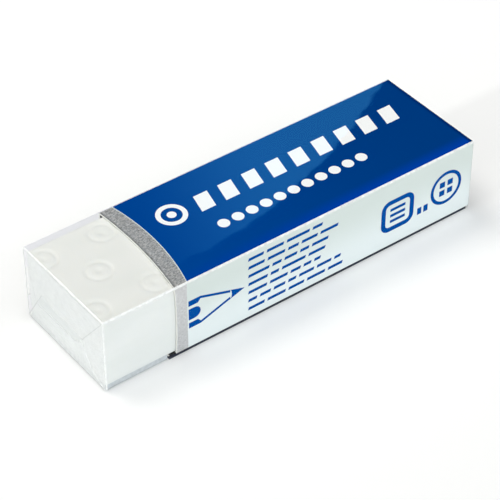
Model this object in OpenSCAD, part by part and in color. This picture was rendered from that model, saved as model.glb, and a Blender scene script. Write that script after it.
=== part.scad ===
// A soft white eraser in a folded card sleeve, sealed in clear film.
// +X runs along the eraser, with its bare end at -X. -Y is the side that faces the user.
// The origin is on the underside, in the middle of the length and the width.

/* [Pack] */
// Length over the film's end folds
pack_l = 65; // [45:0.5:90]
// Width over the film
pack_w = 19.6; // [15:0.1:30]
// Height over the film
pack_h = 12.5; // [9:0.1:18]
// Clearance between film, card and block
layer_gap = 0.05; // [0.02:0.01:0.1]

/* [Eraser block] */
// Room left between the block and the back of the sleeve
side_play = 0.4; // [0:0.05:1]
// Radius of the block's long and short edges
block_edge_r = 0.3; // [0.1:0.05:1]
// Diameter of each pressed ring on the two large faces
ring_d = 4.4; // [2:0.1:5]
// Width of the pressed line
ring_line = 0.85; // [0.2:0.05:0.9]
// Diameter of the pressed dot inside each ring
dot_d = 1.2; // [0.4:0.1:1.6]
// Depth of the pressed pattern
press_depth = 0.12; // [0.05:0.01:0.4]
// Spacing of the rings along each row; the rows are staggered
ring_pitch_x = 9.4; // [6:0.1:14]
// Spacing of the rows of rings across the block
ring_pitch_y = 6.4; // [5.2:0.1:9]
// Distance from the bare end to the first ring's centre; the cut end may pass through this ring
ring_start = 1; // [0.6:0.1:1.6]
// Least margin between a ring and the block's long edges and far end
ring_margin = 0.5; // [0.3:0.1:3]

/* [Card sleeve] */
// Thickness of the card
card_t = 0.3; // [0.2:0.05:0.6]
// Length of block left bare, measured at the sleeve's front corners
bare_l = 11.5; // [6:0.1:18]
// How far the end of the sleeve bows inward on the two large faces
bow_large = 0.7; // [0.3:0.05:2]
// How far the crest of that bow lies behind the middle of the face
bow_offset = 2.8; // [0:0.1:5]
// How far the end of the sleeve bows inward on the two narrow sides
bow_narrow = 0.25; // [0.1:0.05:1.5]
// Outside radius of the sleeve's four folds
fold_r = 0.3; // [0.2:0.05:1]
// Gap at the front where the outer bottom panel stops short of the fold
seam_reveal = 0.35; // [0.1:0.05:1.5]
// Gap at the back where the glued inner panel stops short of the fold
lap_short = 0.9; // [0.3:0.1:4]
// How far the outer bottom panel reaches past the sleeve's corners
tongue_l = 1.3; // [0.3:0.1:3]
// Radius of that panel's corners
tongue_r = 1.1; // [0.2:0.1:3]

/* [Film wrap] */
// Thickness of the film
film_t = 0.05; // [0.03:0.01:0.08]
// Width of the long seam on the back
seam_w = 5; // [2:0.25:7]
// Height of the middle of the long seam
seam_z = 6; // [5:0.25:9]
// Height where the upper end flap stops
flap_top_z = 4.2; // [1.5:0.1:5]
// Height of the band where the two end flaps overlap
flap_overlap = 2; // [0.5:0.1:3]
// Shortest width of an end flap
flap_w = 10.4; // [4:0.2:13]
// Slant of the flaps' folded edges, from upright
mitre_angle = 38; // [20:1:45]

/* [Hidden] */
$fn = 48;
// A cut passes this far beyond what it cuts
past = 1;

// The film's long seam stands one film thickness proud of the back
wrap_w = pack_w - film_t;
wrap_y = -film_t / 2;
// Each end is closed by side tucks, then the two flaps, then their overlap
end_layers = 3;
end_t = end_layers * film_t;
contents_l = pack_l - 2 * (end_t + layer_gap);

sleeve_w = wrap_w - 2 * (film_t + layer_gap);
sleeve_z = film_t + layer_gap;
sleeve_h = pack_h - 2 * sleeve_z;
sleeve_x = -contents_l / 2 + bare_l;
sleeve_l = contents_l / 2 - sleeve_x;
wrap_r = fold_r + layer_gap + film_t;
// The block's edges are at least as round as the inside of the sleeve's folds
block_r = max(block_edge_r, fold_r - card_t);
// The pressed pattern stays on the flat, this far inside the block's edges
flat_from = block_r + 0.1;

// Two layers of card lie under the block and one over it; the block lies against the front
block_w = sleeve_w - 2 * (card_t + layer_gap) - side_play;
block_y = wrap_y - side_play / 2;
block_z = sleeve_z + 2 * card_t + layer_gap;
block_h = sleeve_h - 3 * card_t - 2 * layer_gap;

// Radius of the arc that bows by this much over a chord
function arc_r(chord, bow) = (chord * chord / 4 + bow * bow) / (2 * bow);

// Widths that a mitred flap of this depth has at its free edge
function free_half(depth) = max(flap_w / 2, wrap_w / 2 - depth * tan(mitre_angle));

// Extrudes an outline drawn in Y and Z along X
module along_x(x0, l) {
    translate([x0, 0, 0])
        rotate([90, 0, 90])
            linear_extrude(l)
                children();
}

// A rectangle with round corners, centred sideways and standing on the axis
module round_rect(w, h, r) {
    translate([-w / 2 + r, 0])
        square([w - 2 * r, h]);
    translate([-w / 2, r])
        square([w, h - 2 * r]);
    for (x = [-w / 2 + r, w / 2 - r])
        for (y = [r, h - r])
            translate([x, y])
                circle(r);
}

// A bar with every edge rounded: three rounded outlines crossed
module round_bar(l, w, h, r) {
    intersection() {
        along_x(-l / 2, l)
            round_rect(w, h, r);
        translate([0, w / 2, 0])
            rotate([90, 0, 0])
                linear_extrude(w)
                    round_rect(l, h, r);
        translate([0, -w / 2, 0])
            linear_extrude(h)
                round_rect(l, w, r);
    }
}

// One pressed ring with a dot in it, drawn flat
module ring_outline() {
    difference() {
        circle(d = ring_d);
        circle(d = ring_d - 2 * ring_line);
    }
    circle(d = dot_d);
}

// The pressed pattern that covers a large face, centred on the face
module pressed_pattern() {
    clear = ring_margin + ring_d / 2;
    side_rows = floor((block_w / 2 - clear) / ring_pitch_y);
    intersection() {
        square([contents_l - 2 * flat_from, block_w - 2 * flat_from], center = true);
        for (row = [-side_rows : side_rows]) {
            first = ring_start + (row % 2 == 0 ? ring_pitch_x / 2 : 0);
            for (along = [first : ring_pitch_x : contents_l - clear])
                translate([along - contents_l / 2, row * ring_pitch_y])
                    ring_outline();
        }
    }
}

// The block: soft edges and a pressed pattern on both large faces
module eraser_block() {
    color("#E8EAE6")
        translate([0, block_y, block_z])
            difference() {
                round_bar(contents_l, block_w, block_h, block_r);
                translate([0, 0, block_h - press_depth])
                    linear_extrude(press_depth + past)
                        pressed_pattern();
                translate([0, 0, -past])
                    linear_extrude(press_depth + past)
                        pressed_pattern();
            }
}

// Section of the sleeve: one strip of card folded four times.
// It starts as the glued panel under the block and ends as the outer bottom panel.
module sleeve_section() {
    inner_r = max(fold_r - card_t, layer_gap);
    difference() {
        union() {
            // From the front fold, up over the top and down the back
            translate([0, card_t])
                round_rect(sleeve_w, sleeve_h - card_t, fold_r);
            // Down to the back fold and forward underneath
            intersection() {
                round_rect(sleeve_w, sleeve_h, fold_r);
                union() {
                    translate([-sleeve_w / 2 + seam_reveal, 0])
                        square([sleeve_w, card_t]);
                    square([sleeve_w, sleeve_h / 2]);
                }
            }
        }
        // Room for the block
        translate([0, 2 * card_t])
            round_rect(sleeve_w - 2 * card_t, sleeve_h - 3 * card_t, inner_r);
        // The glued panel stops short of the back
        translate([sleeve_w / 2 - card_t - lap_short, card_t])
            square([lap_short, card_t + fold_r]);
    }
}

// The end of the outer bottom panel: straight, with round corners, and a little longer than the sleeve
module panel_tongue() {
    front = -sleeve_w / 2 + seam_reveal;
    back = sleeve_w / 2 - fold_r;
    reach = tongue_l + bow_large + bow_offset + tongue_r;
    translate([sleeve_x - tongue_l + reach / 2, front])
        linear_extrude(card_t)
            round_rect(reach, back - front, tongue_r);
}

// The sleeve: square at the far end, bowed inward on every face at the bare end
module card_sleeve() {
    large_r = arc_r(sleeve_w, bow_large);
    large_x = sleeve_x - sqrt(large_r * large_r - pow(sleeve_w / 2 + bow_offset, 2));
    narrow_r = arc_r(sleeve_h, bow_narrow);
    color("#1F5CA6")
        translate([0, wrap_y, sleeve_z]) {
            difference() {
                along_x(sleeve_x, sleeve_l)
                    sleeve_section();
                translate([large_x, bow_offset, -past])
                    cylinder(h = sleeve_h + 2 * past, r = large_r, $fn = 180);
                translate([sleeve_x + bow_narrow - narrow_r, 0, sleeve_h / 2])
                    rotate([90, 0, 0])
                        cylinder(h = sleeve_w + 2 * past, r = narrow_r, center = true, $fn = 180);
            }
            panel_tongue();
        }
}

// Outline of an end flap that is hinged at the bottom and mitred on both sides
module flap_outline(depth) {
    half = free_half(depth);
    mitre_h = (wrap_w / 2 - half) / tan(mitre_angle);
    polygon([
        [-wrap_w / 2, 0],
        [wrap_w / 2, 0],
        [half, mitre_h],
        [half, depth],
        [-half, depth],
        [-half, mitre_h],
    ]);
}

// The lower flap
module lower_flap() {
    flap_outline(flap_top_z + flap_overlap);
}

// The upper flap, which hangs from the top edge
module upper_flap() {
    translate([0, pack_h])
        mirror([0, 1])
            flap_outline(pack_h - flap_top_z);
}

// The folded end: side tucks, the two flaps, and the sealed band where they overlap
module folded_end() {
    along_x(pack_l / 2 - end_t, film_t)
        round_rect(wrap_w, pack_h, wrap_r);
    along_x(pack_l / 2 - 2 * film_t, film_t)
        intersection() {
            round_rect(wrap_w, pack_h, wrap_r);
            union() {
                lower_flap();
                upper_flap();
            }
        }
    along_x(pack_l / 2 - film_t, film_t)
        intersection() {
            lower_flap();
            upper_flap();
        }
}

// The film: a tube drawn tight round the sleeve, with a long seam and two folded ends
module film_wrap() {
    tube_l = pack_l - 2 * (end_t - film_t);
    color([0.86, 0.92, 0.95, 0.35]) {
        translate([0, wrap_y, 0]) {
            along_x(-tube_l / 2, tube_l)
                difference() {
                    round_rect(wrap_w, pack_h, wrap_r);
                    translate([0, film_t])
                        round_rect(wrap_w - 2 * film_t, pack_h - 2 * film_t, wrap_r - film_t);
                }
            folded_end();
            mirror([1, 0, 0])
                folded_end();
        }
        translate([-tube_l / 2, pack_w / 2 - film_t, seam_z - seam_w / 2])
            cube([tube_l, film_t, seam_w]);
    }
}

eraser_block();
card_sleeve();
film_wrap();
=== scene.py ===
"""A white vinyl eraser in a printed card sleeve and clear film, on a plain white table.

The frame gives the solids. This script dresses the block and the sleeve, lays the print on the
card, draws the film with its creases and folded ends, and sets the camera, floor and lamps.
"""
import logging
import math
import random
from dataclasses import dataclass, field
from enum import Enum

import bmesh
import bpy
from mathutils import Matrix, Vector


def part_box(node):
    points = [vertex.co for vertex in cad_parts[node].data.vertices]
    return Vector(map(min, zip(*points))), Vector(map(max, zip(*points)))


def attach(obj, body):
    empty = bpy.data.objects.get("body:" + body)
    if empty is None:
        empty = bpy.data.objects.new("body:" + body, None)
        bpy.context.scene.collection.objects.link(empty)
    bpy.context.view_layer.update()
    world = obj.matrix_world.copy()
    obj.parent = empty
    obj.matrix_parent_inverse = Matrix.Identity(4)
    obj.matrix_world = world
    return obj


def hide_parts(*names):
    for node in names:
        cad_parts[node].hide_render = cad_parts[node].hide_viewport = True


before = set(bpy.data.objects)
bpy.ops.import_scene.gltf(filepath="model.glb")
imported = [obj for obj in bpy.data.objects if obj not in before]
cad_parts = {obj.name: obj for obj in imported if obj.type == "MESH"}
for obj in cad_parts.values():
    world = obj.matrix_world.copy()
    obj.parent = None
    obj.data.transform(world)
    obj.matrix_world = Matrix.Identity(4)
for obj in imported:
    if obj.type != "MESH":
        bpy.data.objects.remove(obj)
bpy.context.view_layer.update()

MM = 0.001
TOUCH = 1e-7
BODY = "root"
LOG = logging.getLogger("eraser")

Colour = tuple[float, float, float]
Place = tuple[float, float, float]
Point = tuple[float, float]
Face = bmesh.types.BMFace
Mesh = bmesh.types.BMesh
Material = bpy.types.Material
Object = bpy.types.Object
Socket = bpy.types.NodeSocket


class Wrap(Enum):
    """The looks that the film takes on, in the order of the sheet's materials."""

    CLEAR = "film_clear"
    CREASE = "film_crease"
    FOLD = "film_fold"
    LAYERED = "film_layered"
    SEAL = "film_seal"
    BACK = "film_back"
    FRONT = "film_front"
    TUCK = "film_tuck"
    TUCK_PAINTED_SHADE = "film_tuck_shaded"

    @property
    def index(self) -> int:
        """The look's place in the sheet's list of materials."""
        return list(Wrap).index(self)


class Panel(Enum):
    """A face of the sleeve that carries print."""

    TOP = "top"
    FRONT = "front"


@dataclass(frozen=True)
class Box:
    """The lowest and highest corner of a CAD node, in metres."""

    low: Vector
    high: Vector

    @classmethod
    def of(cls, node: str) -> "Box":
        """Returns the box of a CAD node by its name."""
        low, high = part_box(node)
        return cls(Vector(low), Vector(high))

    @property
    def size(self) -> Vector:
        """Length, width and height."""
        return self.high - self.low

    @property
    def middle(self) -> Vector:
        """The centre."""
        return (self.high + self.low) / 2


class Nodes:
    """A node tree that is filled by short calls."""

    def __init__(self, tree: bpy.types.NodeTree, output: str) -> None:
        """Empties the tree and adds its output.

        Args:
            tree: The node tree to fill.
            output: The output node's type name.
        """
        self.tree = tree
        self.tree.nodes.clear()
        self.output = self.tree.nodes.new(output)

    def node(self, kind: str, **inputs: object) -> bpy.types.Node:
        """Adds a node and fills its inputs.

        Args:
            kind: The node's type name.
            inputs: Values or sockets by input name, with _ for a space.

        Returns:
            The new node.
        """
        made = self.tree.nodes.new(kind)
        for name, value in inputs.items():
            self.feed(made.inputs[name.replace("_", " ")], value)
        return made

    def feed(self, socket: Socket, value: object) -> None:
        """Links a socket to another, or sets its value.

        Args:
            socket: The input to fill.
            value: An output socket, a number or a tuple.
        """
        if isinstance(value, Socket):
            self.tree.links.new(value, socket)
        elif isinstance(value, tuple) and len(value) == 3 and socket.type == "RGBA":
            socket.default_value = (*value, 1.0)
        else:
            socket.default_value = value

    def math(self, operation: str, *values: object) -> Socket:
        """Adds a Math node.

        Args:
            operation: The node's operation.
            values: Up to three numbers or sockets.

        Returns:
            Its output.
        """
        made = self.tree.nodes.new("ShaderNodeMath")
        made.operation = operation
        for socket, value in zip(made.inputs, values):
            self.feed(socket, value)
        return made.outputs[0]

    def product(self, first: object, *others: object) -> Socket:
        """Multiplies numbers and sockets.

        Args:
            first: The first factor.
            others: The other factors.

        Returns:
            Their product.
        """
        for other in others:
            first = self.math("MULTIPLY", first, other)
        return first

    def rest(self, share: object) -> Socket:
        """Returns what a share leaves of one."""
        return self.math("SUBTRACT", 1.0, share)

    def parts(self, vector: Socket) -> list[Socket]:
        """Returns a vector's X, Y and Z."""
        return list(self.node("ShaderNodeSeparateXYZ", Vector=vector).outputs)

    def facing(self) -> list[Socket]:
        """Returns the X, Y and Z of the way that the surface looks."""
        return self.parts(self.node("ShaderNodeNewGeometry").outputs["Normal"])

    def span(
        self, value: object, low: float, high: float, out_low: float = 0.0, out_high: float = 1.0
    ) -> Socket:
        """Maps a value from one range to another, clamped, with soft ends.

        Args:
            value: The socket to map.
            low: The value that gives out_low.
            high: The value that gives out_high.
            out_low: Result at low.
            out_high: Result at high.

        Returns:
            The mapped value.
        """
        made = self.tree.nodes.new("ShaderNodeMapRange")
        made.interpolation_type = "SMOOTHSTEP"
        names = ("Value", "From Min", "From Max", "To Min", "To Max")
        for name, number in zip(names, (value, low, high, out_low, out_high)):
            self.feed(made.inputs[name], number)
        return made.outputs["Result"]

    def mix(self, share: object, first: object, second: object) -> Socket:
        """Mixes two colours.

        Args:
            share: 0 gives first, 1 gives second.
            first: A colour or socket.
            second: A colour or socket.

        Returns:
            The mixed colour.
        """
        made = self.tree.nodes.new("ShaderNodeMix")
        made.data_type = "RGBA"
        self.feed(made.inputs["Factor"], share)
        self.feed(made.inputs[6], first)
        self.feed(made.inputs[7], second)
        return made.outputs[2]

    def tint(self, first: object, second: object) -> Socket:
        """Multiplies two colours.

        Args:
            first: A colour or socket.
            second: A colour or socket.

        Returns:
            The product.
        """
        made = self.mix(1.0, first, second)
        made.node.blend_type = "MULTIPLY"
        return made

    def blend(self, share: object, first: object, second: object) -> Socket:
        """Mixes two shaders.

        Args:
            share: 0 gives first, 1 gives second.
            first: A shader socket.
            second: A shader socket.

        Returns:
            The mixed shader.
        """
        made = self.tree.nodes.new("ShaderNodeMixShader")
        self.feed(made.inputs[0], share)
        self.feed(made.inputs[1], first)
        self.feed(made.inputs[2], second)
        return made.outputs[0]

    def dot(self, vector: object, axis: Place) -> Socket:
        """Measures a vector along an axis.

        Args:
            vector: The vector socket.
            axis: The direction to measure along.

        Returns:
            The dot product.
        """
        made = self.tree.nodes.new("ShaderNodeVectorMath")
        made.operation = "DOT_PRODUCT"
        self.feed(made.inputs[0], vector)
        made.inputs[1].default_value = axis
        return made.outputs["Value"]

    def place(self) -> Socket:
        """Returns the point on the piece in millimetres, as a vector."""
        coordinates = self.tree.nodes.new("ShaderNodeTexCoord")
        scaled = self.tree.nodes.new("ShaderNodeVectorMath")
        scaled.operation = "SCALE"
        self.feed(scaled.inputs[0], coordinates.outputs["Object"])
        scaled.inputs["Scale"].default_value = 1 / MM
        return scaled.outputs[0]

    def noise(self, place: object, stretch: Place, detail: float = 2.0) -> Socket:
        """Adds a noise pattern.

        Args:
            place: The point in millimetres.
            stretch: Waves per millimetre along X, Y and Z.
            detail: How many finer layers it has.

        Returns:
            A value from 0 to 1.
        """
        mapping = self.node("ShaderNodeMapping", Vector=place, Scale=stretch)
        made = self.node("ShaderNodeTexNoise", Vector=mapping.outputs[0], Scale=1.0, Detail=detail)
        return made.outputs[0]

    def bump(self, height: object, depth: float) -> Socket:
        """Turns a height into a normal.

        Args:
            height: A value from 0 to 1.
            depth: The height of 1, in metres.

        Returns:
            The bent normal.
        """
        made = self.node("ShaderNodeBump", Height=height, Distance=depth, Strength=1.0)
        return made.outputs[0]

    def add(self, first: Socket, second: Socket) -> Socket:
        """Returns the sum of two shaders."""
        made = self.node("ShaderNodeAddShader")
        self.feed(made.inputs[0], first)
        self.feed(made.inputs[1], second)
        return made.outputs[0]

    def show(self, surface: Socket) -> None:
        """Connects a shader to the output."""
        self.tree.links.new(surface, self.output.inputs["Surface"])


class Shader(Nodes):
    """A new material and its nodes."""

    def __init__(self, name: str) -> None:
        """Starts an empty material.

        Args:
            name: The material's name.
        """
        self.material = bpy.data.materials.new(name)
        self.material.use_nodes = True
        super().__init__(self.material.node_tree, "ShaderNodeOutputMaterial")

    def finish(self, surface: Socket) -> Material:
        """Connects the surface.

        Args:
            surface: The shader to show.

        Returns:
            The finished material.
        """
        self.show(surface)
        return self.material


@dataclass(frozen=True)
class VinylFinish:
    """Soft white vinyl: matt, a little translucent, with faint flow marks, and painted light: its large
    faces are tinted warmer.
    """

    colour: Colour = (0.87, 0.893, 0.882)
    shade: Colour = (0.845, 0.872, 0.858)
    painted_light_warmth: Colour = (0.995, 0.968, 0.945)
    roughness: float = 0.48
    depth: float = 0.6 * MM
    grain: float = 0.002 * MM

    def material(self) -> Material:
        """Returns the vinyl material."""
        s = Shader("vinyl")
        place = s.place()
        flow = s.span(s.noise(place, (0.12, 0.35, 0.35)), 0.35, 0.7)
        skin = s.noise(place, (1.6, 1.6, 1.6), detail=3.0)
        colour = s.mix(flow, self.colour, self.shade)
        # painted light: a warmer tint on the large faces stands in for the warmer light that falls on the
        # top
        large = s.span(s.math("ABSOLUTE", s.facing()[2]), 0.6, 0.9)
        shader = s.node(
            "ShaderNodeBsdfPrincipled",
            Base_Color=s.mix(large, colour, s.tint(colour, self.painted_light_warmth)),
            Roughness=s.span(skin, 0.3, 0.7, self.roughness - 0.05, self.roughness + 0.08),
            Normal=s.bump(skin, self.grain),
            Subsurface_Weight=0.25,
            Subsurface_Radius=(1.0, 0.95, 0.85),
            Subsurface_Scale=self.depth,
            Specular_IOR_Level=0.35,
        )
        return s.finish(shader.outputs[0])


@dataclass(frozen=True)
class Arc:
    """A circle on the sleeve's large faces, in millimetres from the frame's origin."""

    x: float
    y: float
    radius: float

    def beyond(self, s: Shader, along: object, across: object) -> Socket:
        """How far a point lies outside the circle.

        Args:
            s: The material being made.
            along: The point's X.
            across: The point's Y.

        Returns:
            The distance in millimetres, negative inside the circle.
        """
        dx = s.math("SUBTRACT", along, self.x)
        dy = s.math("SUBTRACT", across, self.y)
        squares = s.math("MULTIPLY_ADD", dy, dy, s.math("MULTIPLY", dx, dx))
        return s.math("SUBTRACT", s.math("SQRT", squares), self.radius)


@dataclass(frozen=True)
class CardFinish:
    """Coated card: blue large faces, white sides, and a silver band along the bowed end.

    Lengths are in millimetres. On the large faces the band ends at one arc and the card is cut along
    another, the bow.
    """

    sleeve: Box
    band: Arc = Arc(-55.84, 1.71, 38.85)
    bow: Arc = Arc(-86.83, 2.775, 67.2)
    side_band: float = -18.7
    hairline: float = 0.13
    edge: float = 0.02
    fold: float = 0.1
    recess: float = 0.15
    end_on: float = 0.6
    # painted light: the blue is lighter at the left and falls off to the right, where less light falls
    blue_lit_left: Colour = (0.0, 0.055, 0.29)
    blue_dim_right: Colour = (0.0, 0.042, 0.217)
    blue_run: Point = (-22.0, 30.0)
    blue_fold: Colour = (0.0, 0.047, 0.37)
    fold_reach: Point = (2.6, 0.5)
    fold_run: Point = (-20.0, 12.0)
    # painted shade: a darker blue along the far end's edge
    blue_end_shade: Colour = (0.0, 0.022, 0.14)
    end_shade_reach: Point = (0.7, 0.2)
    # painted light: the white sides are lighter towards the foot, standing in for light thrown up by the
    # white table
    white_less_lit_high: Colour = (0.72, 0.79, 0.765)
    white_bounce_lit_low: Colour = (0.87, 0.935, 0.945)
    white_margin: float = 2.0
    silver: Colour = (0.90, 0.90, 0.91)
    silver_dark: Colour = (0.34, 0.33, 0.32)
    silver_side: Colour = (0.65, 0.65, 0.665)
    silver_cut: Colour = (0.20, 0.19, 0.175)
    cut_reach: Point = (0.35, 0.1)
    warm: Colour = (1.0, 0.91, 0.83)
    core: Colour = (0.98, 0.975, 0.93)
    # inside: the card's grey board, partly its own grey and partly painted shade for the narrow gaps it
    # faces
    inside: Colour = (0.13, 0.13, 0.12)
    # painted shade: the dark colour of the recessed faces behind the front fold
    seam: Colour = (0.06, 0.065, 0.09)

    def blue_ink(self, s: Shader, x: object, y: object) -> Socket:
        """Colours the large faces: stronger by the front fold, darker to the right as painted light falloff
        from the lit left, and darker at the far end as painted shade along the end's edge.

        Args:
            s: The material being made.
            x: The point's X.
            y: The point's Y.

        Returns:
            The blue there.
        """
        front, end = self.sleeve.low.y / MM, self.sleeve.high.x / MM
        # painted light falloff: lighter blue at the left, darker towards the right
        blue = s.mix(s.span(x, *self.blue_run), self.blue_lit_left, self.blue_dim_right)
        across = s.span(y, front + self.fold_reach[0], front + self.fold_reach[1])
        blue = s.mix(s.product(across, s.span(x, *self.fold_run, 0.4, 1.0)), blue, self.blue_fold)
        # painted shade along the far end's edge
        return s.mix(s.span(x, end - self.end_shade_reach[0], end - self.end_shade_reach[1]), blue, self.blue_end_shade)

    def silver_foil(self, s: Shader, place: object, large: object, x: object, y: object) -> Socket:
        """Colours the band: brushed and warm on the large faces, smoother on the sides, dark at the cut.

        Args:
            s: The material being made.
            place: The point in millimetres.
            large: 1 on the large faces.
            x: The point's X.
            y: The point's Y.

        Returns:
            The silver there.
        """
        streaks = s.noise(place, (2.0, 7.0, 7.0), detail=3.0)
        fine = s.noise(place, (9.0, 9.0, 9.0), detail=2.0)
        brushed = s.span(s.math("MULTIPLY_ADD", fine, 0.5, s.product(streaks, 0.5)), 0.36, 0.64)
        rough = s.mix(brushed, self.silver_dark, self.silver)
        silver = s.mix(large, s.mix(0.35, self.silver_side, rough), s.tint(rough, self.warm))
        near_cut = s.span(self.bow.beyond(s, x, y), *self.cut_reach, 0.0, 0.6)
        return s.mix(s.product(large, near_cut), silver, self.silver_cut)

    def hidden(self, s: Shader, y: object, z: object, facing: list[object]) -> tuple[object, object]:
        """Finds the faces that carry no print.

        Args:
            s: The material being made.
            y: The point's Y.
            z: The point's Z.
            facing: The X, Y and Z of the way that the surface looks.

        Returns:
            1 on the faces that look inward, and 1 on those that look forward from behind the front, which
            get painted shade.
        """
        middle, front = self.sleeve.middle / MM, self.sleeve.low.y / MM
        sideways = s.product(facing[1], s.math("SUBTRACT", y, middle.y))
        outward = s.math("MULTIPLY_ADD", facing[2], s.math("SUBTRACT", z, middle.z), sideways)
        set_back = s.math("GREATER_THAN", y, front + self.recess)
        return s.math("LESS_THAN", outward, 0.0), s.product(set_back, s.math("LESS_THAN", facing[1], -0.5))

    def material(self) -> Material:
        """Returns the printed card material."""
        s = Shader("card")
        place = s.place()
        x, y, z = s.parts(place)
        low, high = self.sleeve.low / MM, self.sleeve.high / MM
        top = s.math("GREATER_THAN", z, high.z - self.fold)
        under = s.math("LESS_THAN", z, low.z + self.fold)
        large = s.math("MAXIMUM", top, under)
        on_large = self.band.beyond(s, x, y)
        on_side = s.math("SUBTRACT", x, self.side_band)
        past = s.math("MULTIPLY_ADD", large, s.math("SUBTRACT", on_large, on_side), on_side)
        past_band = s.span(past, -self.hairline - self.edge, -self.hairline)
        past_line = s.span(past, -self.edge, 0.0)
        # painted bounce light: lighter white near the foot, darker towards the top
        less_bounce = s.span(z, low.z + self.white_margin, high.z - self.white_margin)
        white = s.mix(less_bounce, self.white_bounce_lit_low, self.white_less_lit_high)
        printed = s.mix(past_band, self.silver_foil(s, place, large, x, y), white)
        printed = s.mix(s.product(large, past_line), printed, self.blue_ink(s, x, y))
        facing = s.facing()
        cut = s.math("GREATER_THAN", s.math("ABSOLUTE", facing[0]), self.end_on)
        # painted shade: the recessed faces behind the front fold get the dark seam colour
        inward, seam_shade = self.hidden(s, y, z, facing)
        # the inward faces get the grey board colour, darkened as painted shade
        printed = s.mix(seam_shade, s.mix(inward, printed, self.inside), self.seam)
        fibre = s.noise(place, (5.0, 5.0, 5.0), detail=3.0)
        shader = s.node(
            "ShaderNodeBsdfPrincipled",
            Base_Color=s.mix(cut, printed, self.core),
            Metallic=s.product(s.rest(past_band), s.rest(cut), 0.85),
            Roughness=s.span(fibre, 0.3, 0.7, 0.42, 0.5),
            Normal=s.bump(fibre, 0.002 * MM),
            Specular_IOR_Level=0.0,
        )
        return s.finish(shader.outputs[0])


@dataclass(frozen=True)
class InkFinish:
    """A flat printing ink, a little uneven where the card's grain shows."""

    name: str
    colour: Colour
    thin: Colour

    def material(self) -> Material:
        """Returns the ink material."""
        s = Shader(self.name)
        place = s.place()
        grain = s.noise(place, (6.0, 6.0, 6.0), detail=3.0)
        shader = s.node(
            "ShaderNodeBsdfPrincipled",
            Base_Color=s.mix(s.span(grain, 0.45, 0.8), self.colour, self.thin),
            Roughness=s.span(grain, 0.3, 0.7, 0.4, 0.5),
            Specular_IOR_Level=0.0,
        )
        return s.finish(shader.outputs[0])


@dataclass(frozen=True)
class FilmFinish:
    """Clear packing film: nearly unseen on a flat, whiter where it is creased or doubled.

    The body is the share of haze over the clear film, and the mirror the share of gloss seen head on.
    """

    look: Wrap
    colour: Colour = (1.0, 1.0, 1.0)
    body: float = 0.0
    roughness: float = 0.015
    clear: Colour = (0.985, 0.992, 0.99)
    # painted reflection: a bluish grey tint of the see-through in a strip along the top and the bare end
    tint: Colour = (0.86, 0.86, 0.90)
    painted_reflection_box: Box | None = None
    border: float = 1.5
    border_edge: float = 0.3
    mirror: float = 0.045
    ripple: float = 0.004 * MM
    shine: float = 1.0

    def painted_reflection_strip(self, s: Shader, place: object) -> Socket:
        """Marks a strip along the pack's top and its bare end, where the see-through is tinted bluish grey
        as painted reflection.

        Args:
            s: The material being made.
            place: The point in millimetres.

        Returns:
            1 in the strip and 0 elsewhere.
        """
        x, _, z = s.parts(place)
        top, end = self.painted_reflection_box.high.z / MM - self.border, self.painted_reflection_box.low.x / MM + self.border
        near_top = s.span(z, top - self.border_edge, top)
        return s.math("MAXIMUM", near_top, s.span(x, end + self.border_edge, end))

    def haze(self, s: Shader, place: object, see: object, bent: object) -> Socket:
        """Lays uneven haze over the clear film.

        Args:
            s: The material being made.
            place: The point in millimetres.
            see: The clear film's shader.
            bent: The rippled normal.

        Returns:
            The hazy film's shader.
        """
        patches = s.noise(place, (1.4, 1.4, 1.4), detail=3.0)
        share = s.span(patches, 0.25, 0.75, self.body * 0.8, min(1.0, self.body * 1.15))
        milk = s.node(
            "ShaderNodeBsdfPrincipled",
            Base_Color=self.colour,
            Roughness=0.35,
            Specular_IOR_Level=0.4,
            Normal=bent,
        )
        return s.blend(share, see, milk.outputs[0])

    def material(self) -> Material:
        """Returns this look of the film."""
        s = Shader(self.look.value)
        place = s.place()
        bent = s.bump(s.noise(place, (0.22, 0.22, 0.22), detail=1.0), self.ripple)
        clear = s.mix(self.painted_reflection_strip(s, place), self.clear, self.tint) if self.painted_reflection_box else self.clear
        see = s.node("ShaderNodeBsdfTransparent", Color=clear).outputs[0]
        if self.body:
            see = self.haze(s, place, see, bent)
        gloss = s.node("ShaderNodeBsdfGlossy", Color=(1.0, 1.0, 1.0), Roughness=self.roughness, Normal=bent)
        slant = s.node("ShaderNodeLayerWeight", Blend=0.5, Normal=bent).outputs["Facing"]
        share = s.math("MULTIPLY_ADD", s.math("POWER", slant, 5.0), 1.0 - self.mirror, self.mirror)
        front = s.rest(s.node("ShaderNodeNewGeometry").outputs["Backfacing"])
        return s.finish(s.blend(s.product(share, front, self.shine), see, gloss.outputs[0]))


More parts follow.
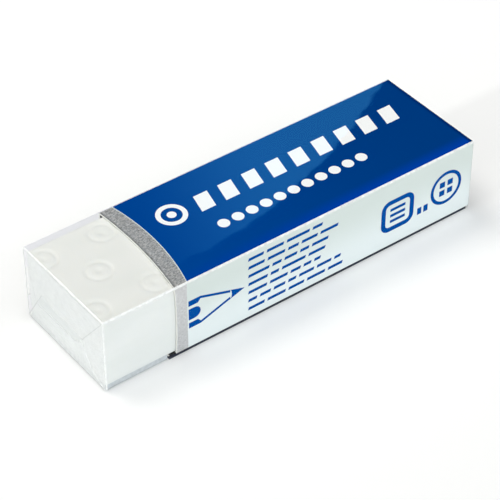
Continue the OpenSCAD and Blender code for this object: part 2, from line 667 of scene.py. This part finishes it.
@dataclass(frozen=True)
class FloorFinish:
    """A white table that renders white where it is lit and keeps the shadow.

    It carries painted shade: dark right under the sleeve, and a little darker in front of the pack's bare
    end, a painted contact shadow. Lengths are in millimetres.
    """

    sleeve: Box
    film: Box
    colour: Colour = (0.96, 0.96, 0.955)
    mottle: Colour = (0.95, 0.95, 0.95)
    # painted shade: the table's colour right under the sleeve
    shade: Colour = (0.10, 0.105, 0.15)
    inset: float = 0.12
    soft: float = 0.06
    lift: float = 0.05
    # painted contact shadow: how much darker the table is in front of the bare end
    painted_contact_shadow: float = 0.08
    reach: float = 1.9

    def beyond_sleeve(self, s: Shader, x: object, y: object) -> Socket:
        """Marks the table outside the sleeve's outline; inside it the table gets painted shade.

        Args:
            s: The material being made.
            x: The point's X.
            y: The point's Y.

        Returns:
            1 outside and 0 under the sleeve.
        """
        outside = 0.0
        for value, middle, size in zip((x, y), self.sleeve.middle / MM, self.sleeve.size / MM):
            away = s.math("ABSOLUTE", s.math("SUBTRACT", value, middle))
            limit = size / 2 - self.inset
            outside = s.math("MAXIMUM", outside, s.span(away, limit - self.soft, limit))
        return outside

    def by_bare_end(self, s: Shader, x: object, y: object) -> Socket:
        """Marks the table close to the pack's bare end, where a contact shadow is painted.

        Args:
            s: The material being made.
            x: The point's X.
            y: The point's Y.

        Returns:
            1 at the end, falling to 0 within the reach.
        """
        end, half = self.film.low.x / MM, self.film.size.y / MM / 2
        beside = s.span(s.math("ABSOLUTE", y), half + self.reach, half - self.reach / 2)
        return s.product(s.span(x, end - self.reach, end), beside)

    def material(self) -> Material:
        """Returns the floor material."""
        s = Shader("table")
        path = s.node("ShaderNodeLightPath").outputs
        through = s.math("MAXIMUM", path["Is Glossy Ray"], path["Is Transmission Ray"])
        seen = s.math("MAXIMUM", path["Is Camera Ray"], through)
        place = s.place()
        x, y, _ = s.parts(place)
        outside = self.beyond_sleeve(s, x, y)
        fibre = s.noise(place, (0.5, 0.5, 0.5), detail=3.0)
        # painted shade under the sleeve, outside it the table's own mottled white
        paper = s.mix(outside, self.shade, s.mix(fibre, self.colour, self.mottle))
        # painted contact shadow in front of the bare end
        paper = s.mix(s.product(self.by_bare_end(s, x, y), self.painted_contact_shadow), paper, (0.0, 0.0, 0.0))
        matt = s.node("ShaderNodeBsdfDiffuse", Color=paper)
        glow = s.node(
            "ShaderNodeEmission", Color=(1.0, 1.0, 1.0), Strength=s.product(seen, outside, self.lift)
        )
        return s.finish(s.add(matt.outputs[0], glow.outputs[0]))


def fill_box(bm: Mesh, low: Vector, high: Vector) -> list[bmesh.types.BMVert]:
    """Adds a box between two corners.

    Args:
        bm: The mesh to add it to.
        low: Its lowest corner.
        high: Its highest corner.

    Returns:
        Its eight corners.
    """
    place = Matrix.Translation((low + high) / 2) @ Matrix.Diagonal((*(high - low), 1.0))
    return bmesh.ops.create_cube(bm, size=1.0, matrix=place)["verts"]


def round_off(bm: Mesh, parts: list, radius: float, steps: int, kind: str = "EDGES") -> dict[str, list]:
    """Rounds edges, or the corners of a flat shape.

    Args:
        bm: The mesh.
        parts: The edges or corners to round.
        radius: Their radius.
        steps: How many flats stand for the curve.
        kind: EDGES or VERTICES.

    Returns:
        The new faces, edges and corners.
    """
    return bmesh.ops.bevel(
        bm, geom=parts, offset=radius, affect=kind, segments=steps, profile=0.5, material=-1
    )


def add_object(name: str, data: bpy.types.ID) -> Object:
    """Adds an object to the scene.

    Args:
        name: Its name.
        data: Its mesh, lamp or camera.

    Returns:
        The object.
    """
    made = bpy.data.objects.new(name, data)
    bpy.context.scene.collection.objects.link(made)
    return made


def add_mesh(name: str, bm: Mesh, materials: list[Material]) -> Object:
    """Adds an object made from a bmesh.

    Args:
        name: Its name.
        bm: Its mesh, freed here.
        materials: Its materials, in the order of the faces' indices.

    Returns:
        The object.
    """
    mesh = bpy.data.meshes.new(name)
    bm.to_mesh(mesh)
    bm.free()
    for material in materials:
        mesh.materials.append(material)
    return add_object(name, mesh)


def piece(name: str, bm: Mesh, materials: list[Material], smooth: bool = False) -> Object:
    """Makes an object of the part from a bmesh and rides it on the part's one body.

    Args:
        name: The piece's name.
        bm: Its mesh, freed here.
        materials: Its materials, in the order of the faces' indices.
        smooth: Whether its faces are shaded smooth.

    Returns:
        The new object.
    """
    made = add_mesh(name, bm, materials)
    if smooth:
        made.data.shade_smooth()
    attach(made, BODY)
    return made


def dress(node: str, material: Material) -> Object:
    """Gives a CAD node its finish.

    Args:
        node: The node's name.
        material: The material to show on it.

    Returns:
        The node's object.
    """
    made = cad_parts[node]
    made.data.materials.clear()
    made.data.materials.append(material)
    return made


class Stencil:
    """Flat shapes drawn in millimetres on one face of the sleeve, then laid down as thin ink."""

    standing = 0.8  # the share of the ink's thickness that stands above the card
    corner_steps = 6

    def __init__(self, panel: Panel, film: Box, sleeve: Box, ink: float) -> None:
        """Starts an empty stencil.

        Args:
            panel: The face that it is for.
            film: The film's box: shapes are measured from its bare end, front and foot.
            sleeve: The sleeve's box.
            ink: Thickness of the ink, in millimetres.
        """
        self.bm = bmesh.new()
        self.ink = ink
        if panel is Panel.TOP:
            origin = Vector((film.low.x, film.low.y, sleeve.high.z))
            turn = Matrix.Identity(4)
        else:
            origin = Vector((film.low.x, sleeve.low.y, film.low.z))
            turn = Matrix.Rotation(math.radians(90), 4, "X")
        self.to_face = Matrix.Translation(origin) @ turn @ Matrix.Scale(MM, 4)

    def plate(self, points: list[Point]) -> Face:
        """Adds a flat outline.

        Args:
            points: Its corners, in order.

        Returns:
            The new face.
        """
        return self.bm.faces.new([self.bm.verts.new((u, v, 0.0)) for u, v in points])

    def bar(self, low: Point, high: Point, slant: float = 0.0) -> Face:
        """Adds an upright or slanted bar.

        Args:
            low: Its lower left corner.
            high: Its upper right corner.
            slant: How far its top leans to the right.

        Returns:
            The new face.
        """
        (left, foot), (right, top) = low, high
        return self.plate([low, (right, foot), (right + slant, top), (left + slant, top)])

    def disc(self, centre: Point, radius: float, segments: int = 40) -> Face:
        """Adds a disc.

        Args:
            centre: Its centre.
            radius: Its radius.
            segments: How many sides stand for the circle.

        Returns:
            The new face.
        """
        place = Matrix.Translation((*centre, 0.0))
        made = bmesh.ops.create_circle(
            self.bm, cap_ends=True, segments=segments, radius=radius, matrix=place
        )
        return made["verts"][0].link_faces[0]

    def soft_bar(self, low: Point, high: Point, corner: float) -> Face:
        """Adds a bar with round corners.

        Args:
            low: Its lower left corner.
            high: Its upper right corner.
            corner: The corners' radius.

        Returns:
            The new face.
        """
        face = self.bar(low, high)
        made = round_off(self.bm, list(face.verts), corner, self.corner_steps, "VERTICES")
        faces = made["faces"] + [f for v in made["verts"] for f in v.link_faces]
        return max(faces, key=lambda f: f.calc_area())

    def hollow(self, face: Face, line: float) -> None:
        """Leaves only the outline of a shape.

        Args:
            face: The shape.
            line: The outline's width.
        """
        bmesh.ops.inset_individual(self.bm, faces=[face], thickness=line, use_even_offset=True)
        bmesh.ops.delete(self.bm, geom=[face], context="FACES")

    def lay(self, name: str, material: Material) -> Object:
        """Gives the shapes their thickness and puts them on the face.

        Args:
            name: The piece's name.
            material: The ink.

        Returns:
            The printed piece.
        """
        bmesh.ops.recalc_face_normals(self.bm, faces=self.bm.faces[:])
        for f in self.bm.faces:
            if f.normal.z < 0:
                f.normal_flip()
        bmesh.ops.solidify(self.bm, geom=self.bm.faces[:], thickness=self.ink)
        top = max(v.co.z for v in self.bm.verts)
        bmesh.ops.translate(self.bm, verts=self.bm.verts[:], vec=(0, 0, self.ink * self.standing - top))
        bmesh.ops.recalc_face_normals(self.bm, faces=self.bm.faces[:])
        bmesh.ops.transform(self.bm, matrix=self.to_face, verts=self.bm.verts[:])
        return piece(name, self.bm, [material])


@dataclass
class EraserBlock:
    """The vinyl block: round edges, and soft rings pressed into both large faces.

    Lengths are in millimetres. A half is half the width of a pressed line or dot, and the rings' rows are
    staggered.
    """

    box: Box
    edge: float = 0.18
    edge_steps: int = 5
    cells: Place = (0.22, 0.2, 0.7)
    ring_middle: float = 1.775
    ring_half: float = 0.6
    dot_half: float = 0.85
    depth: float = 0.12
    first: float = 1.0
    pitch: float = 9.4
    row_pitch: float = 6.4
    clear: float = 2.7
    fade: float = 0.3
    finish: VinylFinish = field(default_factory=VinylFinish)

    def __post_init__(self) -> None:
        """Finds the rings' centres, row by row."""
        self.length = self.box.size.x / MM
        self.rows = []
        for row in (-1, 0, 1):
            start = self.first + (self.pitch / 2 if row == 0 else 0.0)
            count = int((self.length - self.clear - start) / self.pitch) + 1
            self.rows.append((row * self.row_pitch, [start + i * self.pitch for i in range(count)]))

    def pressed(self, x: float, y: float) -> float:
        """Depth of the pressed pattern at a point.

        Args:
            x: Distance from the bare end.
            y: Distance from the block's middle line.

        Returns:
            The depth, all in millimetres.
        """
        row, centres = min(self.rows, key=lambda item: abs(item[0] - y))
        away = math.hypot(min((x - c for c in centres), key=abs), y - row)
        soft = min(1.0, max(0.0, (min(x, self.length - x) - self.edge) / self.fade))
        for off, half in ((away - self.ring_middle, self.ring_half), (away, self.dot_half)):
            if abs(off) < half:
                return soft * self.depth * (1 + math.cos(math.pi * off / half)) / 2
        return 0.0

    def build(self) -> list[Object]:
        """Returns the block: a cube with round edges, cut into a fine grid and pressed."""
        bm = bmesh.new()
        low, middle, high = self.box.low, self.box.middle, self.box.high
        fill_box(bm, low, high)
        round_off(bm, bm.edges[:], self.edge * MM, self.edge_steps)
        for axis, cell in enumerate(self.cells):
            flat = self.box.size[axis] - 2 * self.edge * MM
            along = [e for e in bm.edges if abs(e.verts[0].co[axis] - e.verts[1].co[axis]) > flat / 2]
            bmesh.ops.subdivide_edges(bm, edges=along, cuts=round(flat / MM / cell), use_grid_fill=True)
        for v in bm.verts:
            for face, inward in ((high.z, -1), (low.z, 1)):
                if abs(v.co.z - face) < TOUCH:
                    depth = self.pressed((v.co.x - low.x) / MM, (v.co.y - middle.y) / MM)
                    v.co.z += inward * depth * MM
                    break
        block = piece("block", bm, [self.finish.material()], smooth=True)
        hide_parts("eraser_block")
        return [block]


@dataclass
class CardSleeve:
    """The printed sleeve: the frame's solid and the ink laid on two of its faces.

    Lengths are in millimetres, and the print is placed from the film's bare end, front and foot.
    """

    film: Box
    sleeve: Box
    ink: float = 0.02
    ring_centre: Point = (20.3, 12.9)
    ring_radius: float = 2.3
    ring_line: float = 0.75
    dot_radius: float = 0.7
    row_start: float = 24.1
    row_end: float = 60.8
    row_low: float = 10.9
    row_high: float = 14.3
    row_bars: int = 9
    row_gap: float = 0.95
    row_slant: float = 0.25
    dots_low: float = 6.2
    dots_high: float = 8.0
    dots_end: float = 52.9
    dots_pitch: float = 2.45
    white: InkFinish = InkFinish("ink_white", (0.97, 0.97, 0.97), (0.94, 0.945, 0.95))
    blue: InkFinish = InkFinish("ink_blue", (0.0, 0.075, 0.36), (0.01, 0.10, 0.40))

    def top_print(self) -> Object:
        """Returns the white pattern on the blue top: a ring, slanted bars and a row of dots."""
        s = Stencil(Panel.TOP, self.film, self.sleeve, self.ink)
        s.hollow(s.disc(self.ring_centre, self.ring_radius), self.ring_line)
        s.disc(self.ring_centre, self.dot_radius, segments=24)
        pitch = (self.row_end - self.row_start + self.row_gap) / self.row_bars
        lean = (self.row_high - self.row_low) * self.row_slant
        for i in range(self.row_bars):
            left = self.row_start + i * pitch
            s.bar((left, self.row_low), (left + pitch - self.row_gap - lean, self.row_high), lean)
        radius = (self.dots_high - self.dots_low) / 2
        first, middle = self.row_start + radius, self.dots_low + radius
        for i in range(int((self.dots_end - self.row_start) / self.dots_pitch)):
            s.disc((first + i * self.dots_pitch, middle), radius, segments=24)
        return s.lay("top_print", self.white.material())

    def pencil(self, s: Stencil) -> None:
        """Draws the tip of a pencil in outline.

        Args:
            s: The stencil to draw on.
        """
        left, shoulder, lead, tip = 13.85, 15.85, 20.85, 23.3
        axis, half, line = 6.45, 2.45, 0.42
        slope = half / (tip - shoulder)
        for side in (-1, 1):
            s.plate([
                (shoulder, axis + side * half),
                (lead, axis + side * slope * (tip - lead)),
                (lead, axis + side * (slope * (tip - lead) - line)),
                (shoulder, axis + side * (half - line)),
            ])
        bulge, turns = 0.28, [math.pi * i / 4 for i in range(5)]
        curve = [(lead + bulge * math.sin(t), axis + slope * (tip - lead) * math.cos(t)) for t in turns]
        s.plate(curve + [(tip, axis)])
        groove, nick = 1.5, 0.45
        for side in (-1, 1):
            inner, outer = axis + side * groove, axis + side * half
            s.plate([
                (left, inner),
                (shoulder - nick, inner),
                (shoulder, outer - side * line),
                (shoulder, outer),
                (left, outer),
            ])
        wide, round_from = 0.97, shoulder - 1.0
        turns = [math.pi * (i / 8 - 0.5) for i in range(9)]
        nose = [(round_from + math.cos(t), axis + wide * math.sin(t)) for t in turns]
        s.plate([(left, axis + wide), (left, axis - wide)] + nose)

    def lines(self, s: Stencil) -> None:
        """Draws rows of short slanted dashes.

        Args:
            s: The stencil to draw on.
        """
        draw = random.Random(11)
        start, first, pitch, height, lean = 23.9, 11.0, 1.49, 0.5, 0.14
        shortest, longest, gap, least = 1.3, 4.2, 0.55, 0.8
        ends = (36.8, 40.0, 37.9, 37.4, 36.6, 40.3, 41.1)
        for row, end in enumerate(ends):
            x, z = start, first - row * pitch
            while x < end - least:
                width = min(draw.uniform(shortest, longest), end - x)
                s.bar((x, z - height / 2), (x + width, z + height / 2), lean)
                x += width + gap

    def marks(self, s: Stencil) -> None:
        """Draws the two plain marks near the far end.

        Args:
            s: The stencil to draw on.
        """
        corner, line, bar = 1.5, 0.8, 0.5
        s.hollow(s.soft_bar((47.75, 3.2), (53.85, 8.9), corner), line)
        for z in (4.75, 5.8, 6.85):
            s.bar((49.4, z), (52.2, z + bar))
        for x in (54.6, 55.8):
            s.bar((x, 3.7), (x + line, 4.9))
        x, z, radius, rim = 60.0, 6.25, 2.95, 0.55
        s.hollow(s.disc((x, z), radius), rim)
        off, half = 0.75, 0.5
        for dx in (-off, off):
            for dz in (-off, off):
                s.bar((x + dx - half, z + dz - half), (x + dx + half, z + dz + half))

    def front_print(self) -> Object:
        """Returns the blue print on the front side."""
        s = Stencil(Panel.FRONT, self.film, self.sleeve, self.ink)
        self.pencil(s)
        self.lines(s)
        self.marks(s)
        return s.lay("front_print", self.blue.material())

    def build(self) -> list[Object]:
        """Returns the sleeve and its print."""
        card = CardFinish(self.sleeve).material()
        return [dress("card_sleeve", card), self.top_print(), self.front_print()]


@dataclass
class FilmWrap:
    """The clear film: a tight tube with a long seam on the back and a folded end at each side.

    Its flaps are drawn as fold lines over an end, each a row of points in millimetres from the front and
    the foot.
    """

    box: Box
    sleeve: Box
    block: Box
    thickness: float = 0.05 * MM
    long_edge: float = 0.35 * MM
    end_edge: float = 0.22 * MM
    edge_steps: int = 6
    crease_limit: float = 0.96
    line: float = 0.08 * MM
    proud: float = 0.01 * MM
    foot_gap: float = 0.06 * MM
    foot_lap: float = 0.17 * MM
    seam_low: float = 3.5 * MM
    seam_high: float = 8.5 * MM
    upper: tuple[Point, ...] = ((5.4, 5.8), (15.4, 6.45), (16.9, 4.2))
    lower: tuple[Point, ...] = ((5.0, 4.4), (4.2, 3.0), (3.0, 1.5))
    band: tuple[Point, ...] = ((5.9, 4.9), (7.4, 4.2))

    def tube(self) -> Mesh:
        """Returns the film's outer surface as a closed box with rounded, creased edges."""
        low = self.box.low + Vector((2 * self.thickness, 0, 0))
        high = self.box.high - Vector((2 * self.thickness, self.thickness, 0))
        bm = bmesh.new()
        fill_box(bm, low, high)
        length = high.x - low.x
        along = [e for e in bm.edges if abs(e.verts[0].co.x - e.verts[1].co.x) > length / 2]
        round_off(bm, along, self.long_edge, self.edge_steps)
        ends = {e for f in bm.faces if abs(f.normal.x) > 0.9 for e in f.edges}
        round_off(bm, list(ends), self.end_edge, self.edge_steps)
        bm.normal_update()
        for f in bm.faces:
            f.material_index = self.look(f.normal).index
        return bm

    def look(self, normal: Vector) -> Wrap:
        """Picks a face's look before the ends are folded.

        Args:
            normal: The way the face looks.

        Returns:
            Its look.
        """
        slight = 1 - self.crease_limit
        if abs(normal.y) > self.crease_limit:
            return Wrap.BACK if normal.y > 0 else Wrap.FRONT
        if max(abs(normal.x), abs(normal.z)) >= self.crease_limit:
            return Wrap.CLEAR
        if abs(normal.x) > slight:
            return Wrap.LAYERED if normal.z < -slight else Wrap.CREASE
        if normal.z < 0:
            return Wrap.FRONT
        return Wrap.BACK if normal.y > 0 else Wrap.CREASE

    def nearest(self, face: Face, place: Vector) -> bmesh.types.BMVert:
        """Returns the corner of a face that lies nearest to a place."""
        return min(face.verts, key=lambda v: (v.co - place).length)

    def cut(self, face: Face, start: Vector, path: list[Vector], end: Vector) -> tuple[Face, Face]:
        """Cuts a face in two along a fold line.

        Args:
            face: The face to cut.
            start: Where the line starts, at a corner of the face.
            path: The points between.
            end: Where it ends, at another corner.

        Returns:
            The upper part and the lower part.
        """
        first, last = self.nearest(face, start), self.nearest(face, end)
        made, _ = bmesh.utils.face_split(face, first, last, coords=path)
        low, high = sorted((face, made), key=lambda f: f.calc_center_median_weighted().z)
        return high, low

    def crimp(self, bm: Mesh, face: Face, inner: Wrap, rim: Wrap, rise: float) -> None:
        """Raises a fold's face and gives it a visible border.

        Args:
            bm: The mesh.
            face: The fold's face.
            inner: Its look.
            rim: Its border's look.
            rise: How far it stands out.
        """
        made = bmesh.ops.inset_individual(
            bm, faces=[face], thickness=self.line, depth=rise, use_even_offset=True
        )
        for f in made["faces"]:
            f.material_index = rim.index
        face.material_index = inner.index

    def folded_end(self, bm: Mesh, side: int) -> None:
        """Draws the folds of one end: two side tucks, two flaps and the band where these overlap.

        Args:
            bm: The mesh.
            side: -1 for the bare end, 1 for the sleeved end.
        """
        end = max(bm.faces, key=lambda f: f.normal.x * side * f.calc_area())
        x, low, size, t = end.verts[0].co.x, self.box.low, self.box.size, self.thickness

        def at(y: float, z: float) -> Vector:
            """Returns the place on the end at these distances from the front and the foot."""
            return Vector((x, low.y + y, low.z + z))

        lines = (self.upper, self.lower, self.band)
        upper, lower, band = ([at(y * MM, z * MM) for y, z in line] for line in lines)
        top_front, top_back = at(0, size.z), at(size.y, size.z)
        foot_front, foot_back = at(0, 0), at(size.y, 0)
        above, below = self.cut(end, top_front, upper, foot_back)
        flap, back_tuck = self.cut(above, top_back, [], upper[2])
        halves = self.cut(below, upper[0], lower, foot_front)
        lower_flap, front_tuck = sorted(halves, key=lambda f: -f.calc_center_median_weighted().y)
        overlap, lower_flap = self.cut(lower_flap, upper[0], band, upper[2])
        for face, inner, rim, rise in (
            (back_tuck, Wrap.LAYERED, Wrap.FOLD, 0.0),
            (front_tuck, Wrap.LAYERED, Wrap.FOLD, 0.0),
            (flap, Wrap.LAYERED, Wrap.FOLD, 0.5 * t),
            (lower_flap, Wrap.LAYERED, Wrap.CREASE, 1.5 * t),
            (overlap, Wrap.SEAL, Wrap.CREASE, 1.5 * t),
        ):
            self.crimp(bm, face, inner, rim, rise)

    def seam(self, bm: Mesh) -> None:
        """Raises the long seam on the back.

        Args:
            bm: The mesh.
        """
        for height in (self.seam_low, self.seam_high):
            back = max(bm.faces, key=lambda f: f.normal.y * f.calc_area())
            z = self.box.low.z + height
            geometry = [back, *back.edges, *back.verts]
            bmesh.ops.bisect_plane(bm, geom=geometry, plane_co=(0, 0, z), plane_no=(0, 0, 1), dist=TOUCH)
        middle = self.box.low.z + (self.seam_low + self.seam_high) / 2
        backs = [f for f in bm.faces if f.normal.y > 0.99]
        strip = min(backs, key=lambda f: abs(f.calc_center_median_weighted().z - middle))
        self.crimp(bm, strip, Wrap.LAYERED, Wrap.FOLD, self.thickness)

    def foot_fold(self) -> Object:
        """Returns the doubled film below the block's lower edges, at its bare end and its front; the front
        plate is darker, a sheet of painted shade for the gap under the block.
        """
        bm = bmesh.new()
        low, high = self.block.low, self.block.high
        foot, top = self.box.low.z + self.foot_gap, low.z + self.foot_lap
        stop = self.sleeve.low.x - self.thickness
        across = ((low.x - self.proud, low.y, foot), (low.x + self.thickness, high.y, top))
        along = ((low.x, low.y - self.proud, foot), (stop, low.y + self.thickness, top))
        for index, (near, far) in enumerate((across, along)):
            for corner in fill_box(bm, Vector(near), Vector(far)):
                for f in corner.link_faces:
                    f.material_index = index
        # painted shade: the front plate is a darker copy of the end plate, standing for the shade in the
        # gap under the block
        looks = ((Wrap.TUCK, (0.87, 0.90, 0.89)), (Wrap.TUCK_PAINTED_SHADE, (0.68, 0.72, 0.755)))
        finishes = [FilmFinish(look, colour, 1.0, mirror=0.0, shine=0.0) for look, colour in looks]
        return piece("foot_fold", bm, [finish.material() for finish in finishes])

    def finishes(self) -> list[FilmFinish]:
        """Returns the sheet's finishes, in the order of their looks."""
        return [
            FilmFinish(Wrap.CLEAR),
            FilmFinish(Wrap.CREASE, (0.97, 0.99, 0.98), 0.85, 0.2, mirror=0.14),
            FilmFinish(Wrap.FOLD, (0.70, 0.74, 0.72), 0.3, 0.1),
            FilmFinish(Wrap.LAYERED, (0.94, 0.99, 1.0), 0.16, 0.08, clear=(1.0, 1.0, 1.0)),
            FilmFinish(Wrap.SEAL, (0.74, 0.79, 0.81), 0.16, 0.1, clear=(0.995, 1.0, 1.0)),
            FilmFinish(Wrap.BACK, roughness=0.05, painted_reflection_box=self.box),
            FilmFinish(Wrap.FRONT, (0.90, 0.94, 0.97), mirror=0.0, shine=0.2),
        ]

    def build(self) -> list[Object]:
        """Returns the sheet and the fold below the block."""
        bm = self.tube()
        self.seam(bm)
        for side in (-1, 1):
            self.folded_end(bm, side)
        bmesh.ops.recalc_face_normals(bm, faces=bm.faces[:])
        film = piece("film", bm, [finish.material() for finish in self.finishes()])
        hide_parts("film_wrap")
        return [film, self.foot_fold()]


@dataclass(frozen=True)
class Lamp:
    """A soft lamp that looks at the eraser."""

    name: str
    place: Place
    radiance: float
    width: float
    height: float
    colour: Colour = (1.0, 1.0, 1.0)

    def build(self) -> Object:
        """Returns the lamp, with its power set from its brightness and its area."""
        data = bpy.data.lights.new(self.name, "AREA")
        data.color = self.colour
        data.shape = "RECTANGLE"
        data.size = self.width
        data.size_y = self.height
        data.energy = self.radiance * math.pi * self.width * self.height
        made = add_object(self.name, data)
        made.location = Vector(self.place)
        made.rotation_euler = (-made.location).to_track_quat("-Z", "Y").to_euler()
        made.visible_camera = False
        return made


@dataclass
class Studio:
    """The camera at the photograph's angle, the white table and the soft light."""

    sleeve: Box
    film: Box
    azimuth: float = -37.079
    elevation: float = 40.572
    distance: float = 292.94 * MM
    lens: float = 145.35
    sensor: float = 36.0
    target: Place = (0.671 * MM, 2.129 * MM, 0.0)
    table: float = 3.0
    table_drop: float = 0.03 * MM
    sky_front: Place = (-0.356, -0.934, 0.0)
    sky_bright: float = 1.0
    sky_colour: Colour = (0.98, 1.0, 1.01)
    panel_axis: Place = (0.4199, 0.7682, 0.4833)
    panel_rim: Point = (0.9745, 0.9748)
    panel_run: Point = (0.412, 0.487)
    panel_colour: Colour = (0.16, 1.1, 2.15)
    lamps: tuple[Lamp, ...] = (
        Lamp("key", (-0.10, 0.265, 0.49), 5.8, 0.30, 0.30, (1.0, 0.98, 0.94)),
        Lamp("edge", (0.275, -0.39, 0.364), 7.0, 0.08, 0.08),
    )

    def camera(self) -> Object:
        """Returns the scene's camera."""
        a, e = math.radians(self.azimuth), math.radians(self.elevation)
        back = Vector((math.cos(e) * math.sin(a), -math.cos(e) * math.cos(a), math.sin(e)))
        data = bpy.data.cameras.new("camera")
        data.lens = self.lens
        data.sensor_width = self.sensor
        data.clip_start = 0.01
        made = add_object("camera", data)
        made.location = Vector(self.target) + back * self.distance
        made.rotation_euler = (-back).to_track_quat("-Z", "Y").to_euler()
        bpy.context.scene.camera = made
        return made

    def floor(self) -> Object:
        """Returns the table top, a hair below the film so that the two don't share a plane."""
        bm = bmesh.new()
        place = Matrix.Translation((0, 0, -self.table_drop))
        bmesh.ops.create_grid(bm, x_segments=1, y_segments=1, size=self.table / 2, matrix=place)
        made = add_mesh("table_top", bm, [FloorFinish(self.sleeve, self.film).material()])
        return made

    def sky(self) -> None:
        """Sets the room: bright in front, dark behind, and white to the camera.

        A round panel behind the object, brighter towards the right, shows in gloss only.
        """
        world = bpy.data.worlds.new("room")
        world.use_nodes = True
        s = Nodes(world.node_tree, "ShaderNodeOutputWorld")
        direction = s.tree.nodes.new("ShaderNodeTexCoord").outputs["Generated"]
        path = s.node("ShaderNodeLightPath").outputs
        front = s.span(s.dot(direction, self.sky_front), -0.5, 0.2, 0.0, self.sky_bright)
        room = s.node("ShaderNodeBackground", Color=self.sky_colour, Strength=front)
        inside = s.span(s.dot(direction, self.panel_axis), *self.panel_rim)
        graded = s.span(s.dot(direction, (1.0, 0.0, 0.0)), *self.panel_run)
        level = s.product(inside, graded, path["Is Glossy Ray"])
        panel = s.node("ShaderNodeBackground", Color=self.panel_colour, Strength=level)
        lit = s.add(room.outputs[0], panel.outputs[0])
        white = s.node("ShaderNodeBackground", Color=(1.0, 1.0, 1.0))
        s.show(s.blend(path["Is Camera Ray"], lit, white.outputs[0]))
        bpy.context.scene.world = world

    def build(self) -> None:
        """Sets up everything round the object."""
        self.camera()
        self.floor()
        self.sky()
        for lamp in self.lamps:
            lamp.build()
        bpy.context.scene.view_settings.view_transform = "Standard"


def report(pieces: list[Object]) -> None:
    """Logs each piece and its size.

    Args:
        pieces: The pieces to name.
    """
    for made in pieces:
        size = ", ".join(f"{d / MM:.2f}" for d in made.dimensions)
        LOG.info("%s: %s mm, %d faces", made.name, size, len(made.data.polygons))


def main() -> None:
    """Builds the studio and the object's pieces in order."""
    logging.basicConfig(level=logging.INFO, format="%(name)s: %(message)s")
    block, sleeve, film = (Box.of(node) for node in ("eraser_block", "card_sleeve", "film_wrap"))
    Studio(sleeve, film).build()
    for part in (EraserBlock(block), CardSleeve(film, sleeve), FilmWrap(film, sleeve, block)):
        report(part.build())
    bpy.context.view_layer.update()


if __name__ == "__main__":
    main()
